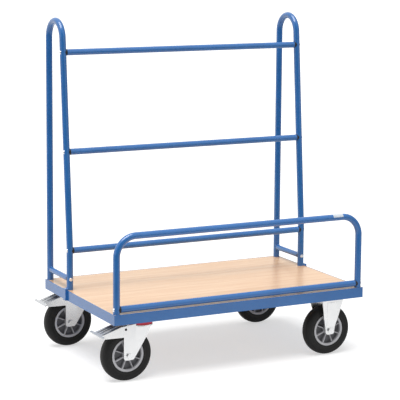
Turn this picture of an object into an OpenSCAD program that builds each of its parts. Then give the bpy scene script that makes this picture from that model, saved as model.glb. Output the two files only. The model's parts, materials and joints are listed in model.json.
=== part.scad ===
// Panel trolley: a flat deck on four castors, with a leaning tube rack along
// the back edge for sheets to stand against and a low hoop along the front.
// Millimetres, +Z up. Front is -Y and left is -X. The origin lies on the
// floor, below the middle of the whole trolley.

/* [Deck] */
// Length of the deck frame over its rails
deck_l = 1076; // [900:2:1300]
// Width of the deck frame over its rails
deck_w = 675; // [600:5:850]
// Height of the rails
rail_h = 40; // [36:1:42]
// Wall thickness of the rails
rail_wall = 2.5; // [2:0.5:5]
// Width of the ledges that carry the board
ledge_w = 30; // [26:1:40]
// Thickness of the deck board
board_t = 14; // [10:1:20]

/* [Rack] */
// Diameter of the bent tubes: the uprights and the front hoop
post_d = 26; // [24:0.5:28]
// Diameter of the cross tubes between them
tube_d = 25; // [22:0.5:26]
// Wall thickness of all tubes
tube_wall = 2; // [1.5:0.25:3]
// Height of the rack above the deck's rim
rack_h = 1054; // [980:2:1200]
// Distance between the two legs of an upright at the deck
rack_depth = 202; // [170:1:240]
// Lean of the front legs from upright, in degrees
rack_lean = 4.5; // [2:0.25:5]
// Height of the lowest cross tube above the rim
low_bar_h = 155; // [120:1:200]
// Distance from the rack's top down to the highest cross tube
top_bar_drop = 131; // [110:1:200]
// Diameter of the short rail between the feet of an upright
foot_rail_d = 22; // [18:0.5:25]
// Height of that rail's axis above the rim
foot_rail_h = 42; // [34:1:80]

/* [Front hoop] */
// Height of the hoop above the rim
hoop_h = 300; // [200:5:500]
// Bend radius of the hoop at the tube's middle
hoop_bend_r = 77; // [50:1:120]
// Gap between the rim and the hoop's lower tube
hoop_gap = 3.5; // [3:0.5:20]

/* [Castors] */
// Wheel diameter
wheel_d = 200; // [180:2:220]
// Tyre width
wheel_w = 50; // [44:1:54]
// From the deck's end to the middle of a castor plate
castor_inset = 134; // [110:1:180]
// Trail of the swivel castors, from swivel axis to axle
trail = 62; // [55:1:70]
// Length of a castor plate
plate_l = 135; // [128:1:145]
// Width of a castor plate
plate_w = 110; // [106:1:120]
// Distance from a castor plate's edges to the middle of its bolt holes
bolt_edge = 15; // [14:0.5:17]
// Downward travel of the brake pedals, in degrees
pedal_travel = 12; // [6:1:14]

/* [Hidden] */
$fn = 96;
// Overrun of every cut
cut = 1;
// Radial play of pins, sleeves and threads
fit_gap = 0.05;
// Play between curved seats
seat_gap = 0.2;
// Play of bolts and screws in drilled holes
hole_gap = 0.25;
// Sides
left = -1;
right = 1;
front = -1;
rear = 1;

// Deck details
ledge_t = 3.5;
rim_proud = 0.3;
board_gap = 0.5;
post_gap = 0.3;
web_t = 4;
bearer_edge = 8;
bearer_flange = 4;
centre_bearer_w = 90;
deck_screw_d = 4.5;
deck_screw_head_d = 9;
deck_screw_head_h = 2.5;
deck_screw_grip = 10;
deck_screw_shares = [-0.25, 0, 0.25];

// Castor bolts and leg bolts
bolt_d = 10;
bolt_af = 16;
bolt_head_h = 6.4;
nut_h = 8;
bolt_over = 1;
nut_gap = 0.5;
leg_bolt_gap = 1;

// Tube joints
bead_over = 0.5;
bead_seam = 0.5;
plug_l = 32;
bar_plug_l = 22;
saddle_t = 2;
saddle_in = 5;
screw_d = 8;
screw_head_d = 14;
screw_head_h = 2;
screw_socket_af = 5;
screw_socket_h = 1.4;
screw_grip = 18;
dimple_d = 15;
dimple_t = 1.5;
kink_rise = 20;
hook_w = 22;
hook_t = 8;
hook_top = 6.5;
label_l = 44;
label_t = 0.4;
label_gap = 2;
label_arc = 80;
label_turn = 180;

// Swivel heads
crown_gap = 7;
crown_t = 5;
crown_r = 45;
race_h = 10;
housing_h = 9;
housing_r = 40;
plate_t = 4;
plate_corner_r = 10;
plate_gap = 1;
kingpin_d = 16;
kingpin_head_d = 30;
kingpin_head_h = 7;
kingpin_gap = 0.4;
ball_d = 9;
ball_ring_r = 28;
ball_count = 16;
ball_gap = 0.5;
seal_t = 3.5;
seal_lap = 2;

// Wheels
tyre_mid_r_share = 0.78;
tyre_roundness = 0.8;
tyre_steps = 24;
bead_w = 44;
rim_r_share = 0.64;
rim_ring_t = 9;
rim_web_t = 6;
hub_r = 19;
hub_play = 0.4;
rib_count = 8;
rib_t = 4;
rib_w = 38;
rib_lap = 2;
bearing_r = 14;
axle_d = 12;
sleeve_r = 10;
axle_af = 19;
axle_head_h = 7.5;
axle_nut_h = 10;
axle_over = 2;

// Forks and fixed brackets, with outlines as shares of the wheel's radius
fork_gap = 6;
fork_t = 3.5;
fork_heel_back = 22;
fork_heel_front = 21;
fork_heel_drop = 16;
heel_r = 9;
crease_share = 0.27;
crease_turn = 7;
cheek_rise = 7;
brow_shares = [0.72, 0.64];
brow_top_share = 0.96;
wing_root_share = 0.72;
wing_len = 92;
wing_tip_back = 4;
wing_tip_h = 17;
bracket_heel_w = 38;
bracket_heel_drop = 15.5;
bracket_bend_share = 0.15;
bracket_low_share = 0.22;
bracket_mid_shares = [0.34, 0.62];
bracket_top_share = 0.49;
bracket_inset = 0.5;
panel_t = 2;
panel_start = 4;
panel_end = 14;
panel_top_share = 0.25;
panel_low_share = 0.15;

// Brake pedals, laid out along their slope from the pivot pin
pin_back = 14;
pin_rise = 1.5;
pin_d = 10;
pedal_slope = 18;
wing_up = 16;
pedal_t = 2.5;
pedal_up = 1.5;
pedal_side_gap = 2.5;
pedal_nose = 8;
lip_gap = 4.5;
lip_l = 8;
lip_w = 120;
lip_d = 4;
ear_r = 9;
ear_t = 2.5;
ear_back = 30;
pedal_rib_w = 5;
pedal_rib_h = 1.6;
pedal_rib_l = 52;
pedal_rib_start = 26;
pedal_rib_pitch = 15;
pedal_rib_steps = [-1, 0, 1];
shoe_w = 34;
shoe_l = 28;
shoe_gap = 0.5;

// Heights
wheel_r = wheel_d / 2;
crown_low = wheel_r + crown_gap;
crown_top = crown_low + crown_t;
castor_h = wheel_r + crown_top + race_h + housing_h + plate_t;
plate_low = castor_h - plate_t;
ledge_z = castor_h + web_t + nut_h + bolt_over + nut_gap;
board_z = ledge_z + ledge_t;
board_top = board_z + board_t;
rim_z = board_top + rim_proud;
rail_z = rim_z - rail_h;

// Places of the posts and the rack
post_r = post_d / 2;
tube_r = tube_d / 2;
saddle_l = post_r + saddle_t;
post_inset = rail_wall + post_gap + post_r;
post_x = deck_l / 2 - post_inset;
rear_y = deck_w / 2 - post_inset;
leg_y = rear_y - rack_depth;
hoop_y = -rear_y;
low_bar_z = rim_z + low_bar_h;
bar_pitch = (rack_h - top_bar_drop - low_bar_h) / 2;
bar_zs = [for (i = [0:2]) low_bar_z + i * bar_pitch];
kink_z = low_bar_z + kink_rise;
apex_z = rim_z + rack_h - post_r;
bend_r = (rack_depth * cos(rack_lean) - (apex_z - kink_z) * sin(rack_lean))
    / (1 + cos(rack_lean) - sin(rack_lean));
bend_z = apex_z - bend_r;
foot_z = rim_z + foot_rail_h;
hoop_z = rim_z + hoop_h - post_r;
hoop_bar_z = rim_z + hoop_gap + tube_r;
bar_end = post_x - saddle_l;
leg_bolt_grip = hoop_bar_z - board_top - screw_d / 2 - leg_bolt_gap;
post_places = [for (x = [left, right], y = [hoop_y, leg_y, rear_y]) [x * post_x, y]];

// Places of the castors
castor_x = deck_l / 2 - castor_inset;
castor_y = deck_w / 2 - rail_wall - plate_gap - plate_w / 2;
bolt_l = plate_l - bolt_edge * 2;
bolt_w = plate_w - bolt_edge * 2;
bearer_w = plate_l + bearer_edge * 2;
fork_in = wheel_w / 2 + fork_gap;
fork_out = fork_in + fork_t;
rim_r = wheel_r * rim_r_share;
hub_w = fork_in * 2 - hub_play * 2;
pin_up = wheel_r + pin_rise;
pedal_top = wing_up + pedal_up;
pedal_low = pedal_top - pedal_t;
pedal_w = fork_in * 2 - pedal_side_gap * 2;
lip_start = wing_len + lip_gap;
lip_end = lip_start + lip_l;
lip_mid = pedal_top - lip_d / 2;

// Shift that sets the trolley's middle over the origin
reach_left = castor_x + trail - slope_point(-lip_end, lip_mid)[0] + lip_d / 2;
reach_right = deck_l / 2 + hook_t;
mid_x = (reach_left - reach_right) / 2;

// Colours
blue = [0.13, 0.33, 0.62];
beech = [0.93, 0.81, 0.68];
black = [0.08, 0.08, 0.09];
zinc = [0.82, 0.84, 0.86];
grey = [0.52, 0.52, 0.54];
red = [0.72, 0.1, 0.14];
white = [0.95, 0.95, 0.95];
bronze = [0.66, 0.5, 0.3];

// Height-to-depth line of the front legs: their axis leans above the kink
function leg_y_at(z) = leg_y + max(0, z - kink_z) * tan(rack_lean);

function leg_lean_at(z) = z > kink_z ? rack_lean : 0;

// Point in the pedal's sloping frame, seen from the axle: u up the slope, w square to it
function slope_point(u, w) = [
    -pin_back + u * cos(pedal_slope) - w * sin(pedal_slope),
    pin_up + u * sin(pedal_slope) + w * cos(pedal_slope)
];

// Touching point of the line from p to a circle round the axle, on its lower front side
function tangent_point(p, r) =
    let (a = atan2(p[1], p[0]) - acos(r / norm(p))) [r * cos(a), r * sin(a)];

// Place on the wing's sloping top edge at a height
function line_x(tip, z) = tip[0] + (z - tip[1]) / tan(pedal_slope);

// Height at x on the line through a and b
function line_z(a, b, x) = a[1] + (b[1] - a[1]) * (x - a[0]) / (b[0] - a[0]);

// Whole trolley, set over the origin
module trolley() {
    translate([mid_x, 0, 0]) children();
}

// What is drawn on the +Y side, set on the front or rear row
module on_row(row) {
    if (row == rear) children();
    else mirror([0, 1, 0]) children();
}

// What is drawn on the +X side, set on the left or right side
module on_side(side) {
    if (side == right) children();
    else mirror([1, 0, 0]) children();
}

// Box between two opposite corners
module block(a, b) {
    translate(a) cube(b - a);
}

module hexagon(af, h) {
    cylinder(d = af / cos(30), h = h, $fn = 6);
}

module ring(r_in, r_out, h) {
    difference() {
        cylinder(r = r_out, h = h);
        translate([0, 0, -cut]) cylinder(r = r_in, h = h + cut * 2);
    }
}

// Torus piece between two angles of a bend that starts at the origin along +Z and turns to +Y
module tube_bend(r, from, to, d) {
    translate([0, r, 0]) rotate([0, 0, -90]) rotate([90, 0, 0]) rotate([0, 0, from])
        rotate_extrude(angle = to - from) translate([r, 0]) circle(d = d);
}

// Bent rod: each leg of the list is a straight length, then a bend radius and angle.
// A slight bead joins a straight to a bend, and a radius of zero is a plain kink.
module tube_run(legs, d, i = 0) {
    run = legs[i][0];
    r = legs[i][1];
    a = legs[i][2];
    last = i + 1 == len(legs);
    start = i == 0 ? 0 : bead_seam;
    translate([0, 0, start]) cylinder(d = d, h = run - start - (last ? 0 : bead_seam));
    if (!last) translate([0, 0, run]) {
        sphere(d = d + bead_over);
        if (r > 0) {
            skip = asin(bead_seam / r);
            tube_bend(r, skip, a - skip, d);
        }
        translate([0, r * (1 - cos(a)), r * sin(a)]) {
            if (r > 0) sphere(d = d + bead_over);
            rotate([-a, 0, 0]) tube_run(legs, d, i + 1);
        }
    }
}

// Bent tube with a welded plug in each foot, drilled for its leg bolt
module bent_tube(legs) {
    last = len(legs) - 1;
    bore = [for (i = [0:last])
        [legs[i][0] - (i == 0 || i == last ? plug_l : 0), legs[i][1], legs[i][2]]];
    difference() {
        tube_run(legs, post_d);
        translate([0, 0, plug_l]) tube_run(bore, post_d - tube_wall * 2);
    }
}

// Rails

module leg_bolt_holes() {
    for (p = post_places)
        translate([p[0], p[1], ledge_z - cut])
            cylinder(d = bolt_d + hole_gap * 2, h = board_t + ledge_t + plug_l);
}

module deck_screw_places() {
    for (y = [front, rear], k = deck_screw_shares)
        translate([k * deck_l, y * (deck_w / 2 - rail_wall - ledge_w / 2), ledge_z]) children();
}

module long_rail(side) {
    inner = deck_w / 2 - rail_wall;
    color(blue) trolley() difference() {
        on_row(side) {
            block([-deck_l / 2, inner, rail_z], [deck_l / 2, deck_w / 2, rim_z]);
            block([-deck_l / 2 + rail_wall, inner - ledge_w, ledge_z],
                  [deck_l / 2 - rail_wall, inner, board_z]);
        }
        leg_bolt_holes();
        deck_screw_places() translate([0, 0, -cut])
            cylinder(d = deck_screw_d + hole_gap * 2, h = ledge_t + cut * 2);
    }
}

module end_rail(side) {
    inner = deck_l / 2 - rail_wall;
    half = deck_w / 2 - rail_wall;
    color(blue) trolley() difference() {
        on_side(side) {
            block([inner, -half, rail_z], [deck_l / 2, half, rim_z]);
            block([inner - ledge_w, -half + ledge_w, ledge_z], [inner, half - ledge_w, board_z]);
        }
        leg_bolt_holes();
    }
}

module front_rail() { long_rail(front); }
module rear_rail() { long_rail(rear); }
module left_rail() { end_rail(left); }
module right_rail() { end_rail(right); }

module deck_board() {
    half_l = deck_l / 2 - rail_wall - board_gap;
    half_w = deck_w / 2 - rail_wall - board_gap;
    color(beech) trolley() difference() {
        block([-half_l, -half_w, board_z], [half_l, half_w, board_top]);
        leg_bolt_holes();
        deck_screw_places()
            cylinder(d = deck_screw_d + fit_gap * 2, h = ledge_t + deck_screw_grip + fit_gap);
    }
}

module deck_screws() {
    color(zinc) trolley() deck_screw_places() {
        cylinder(d = deck_screw_d, h = ledge_t + deck_screw_grip);
        translate([0, 0, -deck_screw_head_h]) cylinder(d = deck_screw_head_d, h = deck_screw_head_h);
    }
}

// Channel across the frame, open at the top, that carries the board and the castors
module bearer(w) {
    half = deck_w / 2 - rail_wall;
    difference() {
        block([-w / 2, -half, castor_h], [w / 2, half, board_z]);
        block([-w / 2 + bearer_flange, -half - cut, castor_h + web_t],
              [w / 2 - bearer_flange, half + cut, board_z + cut]);
        for (side = [front, rear]) on_row(side)
            block([-w / 2 - cut, half - ledge_w, ledge_z], [w / 2 + cut, half + cut, board_z + cut]);
    }
}

module castor_bolt_places(x) {
    for (y = [-castor_y, castor_y], i = [left, right], j = [front, rear])
        translate([x + i * bolt_l / 2, y + j * bolt_w / 2, plate_low]) children();
}

module castor_bearer(side) {
    color(blue) trolley() difference() {
        translate([side * castor_x, 0, 0]) bearer(bearer_w);
        castor_bolt_places(side * castor_x)
            cylinder(d = bolt_d + hole_gap * 2, h = plate_t + web_t + cut);
    }
}

module left_castor_bearer() { castor_bearer(left); }
module right_castor_bearer() { castor_bearer(right); }
module centre_bearer() { color(blue) trolley() bearer(centre_bearer_w); }

// Rack

upright_legs = [
    [kink_z - board_top, 0, rack_lean],
    [(bend_z + bend_r * sin(rack_lean) - kink_z) / cos(rack_lean), bend_r, 180 - rack_lean],
    [bend_z - board_top, 0, 0]
];

// Hole through a tube along local Z, with a dimple on the outer side for the screw head
module screw_hole() {
    cylinder(d = screw_d + hole_gap * 2, h = post_d + cut * 2, center = true);
    translate([0, 0, post_r - dimple_t]) cylinder(d = dimple_d, h = post_r);
}

module upright(side) {
    color(blue) trolley() translate([side * post_x, 0, 0]) difference() {
        translate([0, leg_y, board_top]) bent_tube(upright_legs);
        for (y = [leg_y, rear_y]) translate([0, y, board_top - cut])
            cylinder(d = bolt_d + fit_gap * 2, h = plug_l + cut * 2);
        for (z = bar_zs) translate([0, leg_y_at(z), z]) rotate([0, side * 90, 0]) screw_hole();
        translate([0, leg_y, foot_z]) rotate([90, 0, 0]) screw_hole();
    }
}

module left_upright() { upright(left); }
module right_upright() { upright(right); }

// Short rail between the legs, coped and welded to the back leg
module foot_rail(side) {
    start = leg_y + saddle_l;
    color(blue) trolley() translate([side * post_x, 0, foot_z]) difference() {
        translate([0, start, 0]) rotate([-90, 0, 0])
            cylinder(d = foot_rail_d, h = rear_y - start - saddle_in);
        translate([0, start + bar_plug_l, 0]) rotate([-90, 0, 0])
            cylinder(d = foot_rail_d - tube_wall * 2, h = rear_y - start);
        translate([0, start - cut, 0]) rotate([-90, 0, 0])
            cylinder(d = screw_d + fit_gap * 2, h = bar_plug_l + cut * 2);
        translate([0, rear_y, -post_d]) cylinder(d = post_d + seat_gap * 2, h = post_d * 2);
    }
}

module left_foot_rail() { foot_rail(left); }
module right_foot_rail() { foot_rail(right); }

// Cross tube between two posts, with welded end plugs drilled for the screws
module cross_tube(y, z) {
    color(blue) trolley() translate([-bar_end, y, z]) rotate([0, 90, 0]) difference() {
        cylinder(d = tube_d, h = bar_end * 2);
        translate([0, 0, bar_plug_l])
            cylinder(d = tube_d - tube_wall * 2, h = bar_end * 2 - bar_plug_l * 2);
        translate([0, 0, -cut]) cylinder(d = screw_d + fit_gap * 2, h = bar_end * 2 + cut * 2);
    }
}

module lower_cross_tube() { cross_tube(leg_y_at(bar_zs[0]), bar_zs[0]); }
module middle_cross_tube() { cross_tube(leg_y_at(bar_zs[1]), bar_zs[1]); }
module top_cross_tube() { cross_tube(leg_y_at(bar_zs[2]), bar_zs[2]); }

// Front hoop

hoop_legs = [
    [hoop_z - hoop_bend_r - board_top, hoop_bend_r, 90],
    [post_x * 2 - hoop_bend_r * 2, hoop_bend_r, 90],
    [hoop_z - hoop_bend_r - board_top, 0, 0]
];

module front_hoop() {
    color(blue) trolley() difference() {
        translate([-post_x, hoop_y, board_top]) rotate([0, 0, -90]) bent_tube(hoop_legs);
        for (side = [left, right]) translate([side * post_x, hoop_y, 0]) {
            translate([0, 0, board_top - cut]) cylinder(d = bolt_d + fit_gap * 2, h = plug_l + cut * 2);
            translate([0, 0, hoop_bar_z]) rotate([0, side * 90, 0]) screw_hole();
        }
    }
}

module hoop_lower_tube() { cross_tube(hoop_y, hoop_bar_z); }

// Every screwed tube joint: place, turn about Z towards the tube, lean of the post, tube diameter
joints = concat(
    [for (z = bar_zs, side = [left, right])
        [[side * post_x, leg_y_at(z), z], side == left ? 0 : 180, leg_lean_at(z), tube_d]],
    [for (side = [left, right]) [[side * post_x, hoop_y, hoop_bar_z], side == left ? 0 : 180, 0, tube_d]],
    [for (side = [left, right]) [[side * post_x, leg_y, foot_z], 90, 0, foot_rail_d]]
);

// Moulded saddle along +X that fits a tube end to a leaning post
module saddle(d, lean) {
    difference() {
        translate([saddle_in, 0, 0]) rotate([0, 90, 0]) cylinder(d = d, h = saddle_l - saddle_in);
        rotate([-lean, 0, 0]) cylinder(d = post_d + seat_gap * 2, h = post_d * 2, center = true);
        rotate([0, 90, 0]) cylinder(d = screw_d + hole_gap * 2, h = saddle_l + cut);
    }
}

module tube_saddles() {
    color(black) trolley() for (j = joints) {
        lean = j[1] == 180 ? -j[2] : j[2];
        translate(j[0]) rotate([0, 0, j[1]]) saddle(j[3], lean);
    }
}

// Socket screw along +X, with its head on the post's outer side
module tube_screw() {
    seat = post_r - dimple_t;
    difference() {
        union() {
            translate([-seat, 0, 0]) rotate([0, 90, 0])
                cylinder(d = screw_d, h = seat + saddle_l + screw_grip);
            translate([-seat - screw_head_h, 0, 0]) rotate([0, 90, 0])
                cylinder(d1 = screw_head_d - screw_head_h, d2 = screw_head_d, h = screw_head_h);
        }
        translate([-seat - screw_head_h - cut, 0, 0]) rotate([0, 90, 0])
            hexagon(screw_socket_af, screw_socket_h + cut);
    }
}

module tube_screws() {
    color(zinc) trolley() for (j = joints) translate(j[0]) rotate([0, 0, j[1]]) tube_screw();
}

// Flat bars that hook the front legs over the end rails
module leg_hooks() {
    low_y = leg_y - hook_w / 2;
    outer = [deck_l / 2 + hook_t, leg_y + hook_w / 2, rim_z + hook_top];
    color(blue) trolley() for (side = [left, right]) on_side(side) difference() {
        union() {
            block([post_x, low_y, rim_z], outer);
            block([deck_l / 2, low_y, rail_z], outer);
        }
        translate([post_x, leg_y, rail_z - cut])
            cylinder(d = post_d + seat_gap * 2, h = rail_h + hook_top + cut * 2);
    }
}

// Bolts that hold the posts down through the ledges and the board
module leg_bolts() {
    color(zinc) trolley() for (p = post_places) translate([p[0], p[1], ledge_z]) {
        cylinder(d = bolt_d, h = ledge_t + board_t + leg_bolt_grip);
        translate([0, 0, -bolt_head_h]) hexagon(bolt_af, bolt_head_h);
    }
}

// Blank sticker on the upper front of the hoop, beside its right bend
module blank_label() {
    color(white) trolley()
        translate([post_x - hoop_bend_r - label_gap - label_l, hoop_y, hoop_z])
            rotate([0, 90, 0]) rotate([0, 0, label_turn])
                rotate_extrude(angle = label_arc)
                    translate([post_r + fit_gap, 0]) square([label_t, label_l]);
}

// Castor plates and swivel heads

module castor_bolts() {
    color(zinc) trolley() for (side = [left, right]) castor_bolt_places(side * castor_x) {
        cylinder(d = bolt_d, h = plate_t + web_t + nut_h + bolt_over);
        translate([0, 0, -bolt_head_h]) hexagon(bolt_af, bolt_head_h);
    }
}

module castor_nuts() {
    color(zinc) trolley() for (side = [left, right]) castor_bolt_places(side * castor_x)
        translate([0, 0, plate_t + web_t]) difference() {
            hexagon(bolt_af, nut_h);
            translate([0, 0, -cut]) cylinder(d = bolt_d + fit_gap * 2, h = nut_h + cut * 2);
        }
}

// Flat plate with round corners, centred on its castor and drilled for its bolts
module castor_plate() {
    flat_l = plate_l / 2 - plate_corner_r;
    flat_w = plate_w / 2 - plate_corner_r;
    translate([0, 0, plate_low]) linear_extrude(plate_t) difference() {
        union() {
            square([plate_l, flat_w * 2], center = true);
            square([flat_l * 2, plate_w], center = true);
            for (i = [left, right], j = [front, rear])
                translate([i * flat_l, j * flat_w]) circle(r = plate_corner_r);
        }
        for (i = [left, right], j = [front, rear])
            translate([i * bolt_l / 2, j * bolt_w / 2]) circle(d = bolt_d + hole_gap * 2);
    }
}

module at_swivel(row) {
    translate([-castor_x, row * castor_y, 0]) children();
}

module swivel_plate(row) {
    color(zinc) trolley() at_swivel(row) difference() {
        union() {
            castor_plate();
            translate([0, 0, plate_low - housing_h]) cylinder(r = housing_r, h = housing_h);
        }
        translate([0, 0, plate_low - housing_h - cut])
            cylinder(d = kingpin_d + fit_gap * 2, h = housing_h + plate_t + cut * 2);
    }
}

module front_left_plate() { swivel_plate(front); }
module rear_left_plate() { swivel_plate(rear); }

module kingpins() {
    head_top = wheel_r + crown_low - kingpin_gap;
    color(zinc) trolley() for (row = [front, rear]) at_swivel(row) {
        translate([0, 0, head_top]) cylinder(d = kingpin_d, h = castor_h - head_top);
        translate([0, 0, head_top - kingpin_head_h]) cylinder(d = kingpin_head_d, h = kingpin_head_h);
    }
}

module swivel_balls() {
    color(zinc) trolley() for (row = [front, rear]) at_swivel(row)
        for (i = [1:ball_count]) rotate([0, 0, i * 360 / ball_count])
            translate([ball_ring_r, 0, wheel_r + crown_top + ball_gap + ball_d / 2]) sphere(d = ball_d);
}

module dust_seals() {
    color(red) trolley() for (row = [front, rear]) at_swivel(row)
        translate([0, 0, wheel_r + crown_top + ball_gap])
            ring(housing_r + fit_gap, housing_r + seal_t, race_h - ball_gap + seal_lap);
}

// Forks of the swivel castors, drawn from the axle

module at_swivel_axle(row) {
    at_swivel(row) translate([-trail, 0, wheel_r]) children();
}

// Corners of a cheek: the brow, its crease, the two rounded corners of its heel, and
// the point where the front one runs into the slanting front edge
brow = brow_shares * wheel_r;
crease = crease_share * wheel_r;
heel_back = [heel_r - fork_heel_back, heel_r - fork_heel_drop];
heel_front = [fork_heel_front - heel_r, heel_r - fork_heel_drop];
heel_end = heel_front + tangent_point(brow - heel_front, heel_r);

module fork_cheek_outline() {
    tip = slope_point(-wing_len, wing_up);
    for (p = [heel_back, heel_front]) translate(p) circle(r = heel_r);
    polygon([
        heel_end,
        [crease, line_z(heel_end, brow, crease)],
        [crease, crown_top + cheek_rise],
        [line_x(tip, crown_top), crown_top],
        tip,
        slope_point(wing_tip_back - wing_len, wing_up - wing_tip_h),
        [-fork_heel_back, wing_root_share * wheel_r],
        [-fork_heel_back, heel_back[1]],
        [heel_back[0], -fork_heel_drop],
        [heel_front[0], -fork_heel_drop]
    ]);
}

// Front part of a cheek, turned in a little at the crease
module fork_brow_outline() {
    polygon([
        [0, line_z(heel_end, brow, crease)],
        [0, crown_top],
        [brow_top_share * wheel_r - crease, crown_top],
        [brow[0] - crease, brow[1]]
    ]);
}

module swivel_fork(row) {
    color(zinc) trolley() at_swivel_axle(row) difference() {
        union() {
            for (side = [front, rear]) on_row(-side) {
                translate([0, -fork_in, 0]) rotate([90, 0, 0]) linear_extrude(fork_t) fork_cheek_outline();
                translate([crease, -fork_out, 0]) rotate([0, 0, crease_turn])
                    translate([0, fork_t, 0]) rotate([90, 0, 0]) linear_extrude(fork_t) fork_brow_outline();
            }
            translate([0, 0, crown_low]) linear_extrude(crown_t) {
                translate([trail, 0]) circle(r = crown_r);
                translate([0, -fork_out]) square([trail, fork_out * 2]);
            }
        }
        translate([trail, 0, crown_low - cut]) cylinder(d = kingpin_d + fit_gap * 2, h = crown_t + cut * 2);
        axle_bore();
        translate([-pin_back, fork_out + cut, pin_up]) rotate([90, 0, 0])
            cylinder(d = pin_d + fit_gap * 2, h = fork_out * 2 + cut * 2);
    }
}

module axle_bore() {
    translate([0, fork_out + cut, 0]) rotate([90, 0, 0])
        cylinder(d = axle_d + fit_gap * 2, h = fork_out * 2 + cut * 2);
}

module front_left_fork() { swivel_fork(front); }
module rear_left_fork() { swivel_fork(rear); }

// Axles and wheels, drawn from the axle with their axis along Y

module axle_bolt() {
    translate([0, -fork_out, 0]) rotate([-90, 0, 0]) {
        cylinder(d = axle_d, h = fork_out * 2 + axle_nut_h + axle_over);
        translate([0, 0, -axle_head_h]) hexagon(axle_af, axle_head_h);
    }
    translate([0, fork_out, 0]) rotate([-90, 0, 0]) difference() {
        hexagon(axle_af, axle_nut_h);
        translate([0, 0, -cut]) cylinder(d = axle_d + fit_gap * 2, h = axle_nut_h + cut * 2);
    }
}

module axle_sleeve() {
    translate([0, -fork_in, 0]) rotate([-90, 0, 0]) ring(axle_d / 2 + fit_gap, sleeve_r, fork_in * 2);
}

module tyre() {
    mid_r = wheel_r * tyre_mid_r_share;
    crown = [for (i = [0:tyre_steps]) let (a = 180 * i / tyre_steps - 90) [
        mid_r + (wheel_r - mid_r) * pow(cos(a), tyre_roundness),
        wheel_w / 2 * sign(a) * pow(abs(sin(a)), tyre_roundness)
    ]];
    beads = [[rim_r + fit_gap, bead_w / 2], [rim_r + fit_gap, -bead_w / 2]];
    color(black) rotate([90, 0, 0]) rotate_extrude() polygon(concat(crown, beads));
}

module rim() {
    ring_r = rim_r - rim_ring_t;
    color(grey) rotate([90, 0, 0]) difference() {
        union() {
            translate([0, 0, -bead_w / 2]) ring(ring_r, rim_r, bead_w);
            translate([0, 0, -rim_web_t / 2]) cylinder(r = ring_r + rib_lap, h = rim_web_t);
            translate([0, 0, -hub_w / 2]) cylinder(r = hub_r, h = hub_w);
            for (i = [1:rib_count]) rotate([0, 0, (i - 1 / 2) * 360 / rib_count])
                block([hub_r - rib_lap, -rib_t / 2, -rib_w / 2], [ring_r + rib_lap, rib_t / 2, rib_w / 2]);
        }
        translate([0, 0, -hub_w / 2 - cut]) cylinder(r = bearing_r, h = hub_w + cut * 2);
    }
}

module bearing() {
    color(bronze) translate([0, hub_w / 2, 0]) rotate([90, 0, 0])
        ring(sleeve_r + fit_gap, bearing_r - fit_gap, hub_w);
}

module front_left_axle_bolt() { color(zinc) trolley() at_swivel_axle(front) axle_bolt(); }
module rear_left_axle_bolt() { color(zinc) trolley() at_swivel_axle(rear) axle_bolt(); }
module front_left_axle_sleeve() { color(zinc) trolley() at_swivel_axle(front) axle_sleeve(); }
module rear_left_axle_sleeve() { color(zinc) trolley() at_swivel_axle(rear) axle_sleeve(); }
module front_left_tyre() { trolley() at_swivel_axle(front) tyre(); }
module front_left_rim() { trolley() at_swivel_axle(front) rim(); }
module front_left_bearing() { trolley() at_swivel_axle(front) bearing(); }
module rear_left_tyre() { trolley() at_swivel_axle(rear) tyre(); }
module rear_left_rim() { trolley() at_swivel_axle(rear) rim(); }
module rear_left_bearing() { trolley() at_swivel_axle(rear) bearing(); }

// Brake pedals of the swivel castors

module at_pedal(row) {
    at_swivel_axle(row) translate([-pin_back, 0, pin_up]) rotate([0, -pedal_slope, 0]) children();
}

module pedal(row) {
    half = pedal_w / 2;
    color(zinc) trolley() at_pedal(row) difference() {
        union() {
            block([-lip_start, -half, pedal_low], [pedal_nose, half, pedal_top]);
            block([-lip_end, -lip_w / 2, pedal_low], [-lip_start, lip_w / 2, pedal_top]);
            translate([-lip_end, lip_w / 2, lip_mid]) rotate([90, 0, 0]) cylinder(d = lip_d, h = lip_w);
            for (k = pedal_rib_steps) translate([0, k * pedal_rib_pitch, 0])
                block([-pedal_rib_start - pedal_rib_l, -pedal_rib_w / 2, pedal_low],
                      [-pedal_rib_start, pedal_rib_w / 2, pedal_top + pedal_rib_h]);
            for (side = [front, rear]) on_row(-side)
                translate([0, ear_t - half, 0]) rotate([90, 0, 0]) linear_extrude(ear_t) {
                    circle(r = ear_r);
                    polygon([[-ear_r, 0], [ear_r, 0], [pedal_nose, pedal_top], [-ear_back, pedal_top]]);
                }
        }
        translate([0, half + cut, 0]) rotate([90, 0, 0])
            cylinder(d = pin_d + fit_gap * 2, h = pedal_w + cut * 2);
    }
}

module front_left_pedal() { pedal(front); }
module rear_left_pedal() { pedal(rear); }

// Stub pins, riveted in the cheeks, that the pedal's ears turn on
module pedal_pins(row) {
    inner = pedal_w / 2 - ear_t;
    color(zinc) trolley() at_swivel_axle(row) for (side = [front, rear]) on_row(-side)
        translate([-pin_back, -inner, pin_up]) rotate([90, 0, 0]) cylinder(d = pin_d, h = fork_out - inner);
}

module front_left_pedal_pins() { pedal_pins(front); }
module rear_left_pedal_pins() { pedal_pins(rear); }

// Shoe under the pedal, hollowed so that it meets the tyre when the pedal is down
module brake_shoe(row) {
    turn = pedal_slope + pedal_travel;
    axle_u = pin_back * cos(turn) - pin_up * sin(turn);
    axle_w = -pin_back * sin(turn) - pin_up * cos(turn);
    color(zinc) trolley() at_pedal(row) difference() {
        block([axle_u - shoe_l / 2, -shoe_w / 2, axle_w + wheel_r],
              [axle_u + shoe_l / 2, shoe_w / 2, pedal_low]);
        translate([axle_u, shoe_w / 2 + cut, axle_w]) rotate([90, 0, 0])
            cylinder(r = wheel_r + shoe_gap, h = shoe_w + cut * 2);
    }
}

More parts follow.
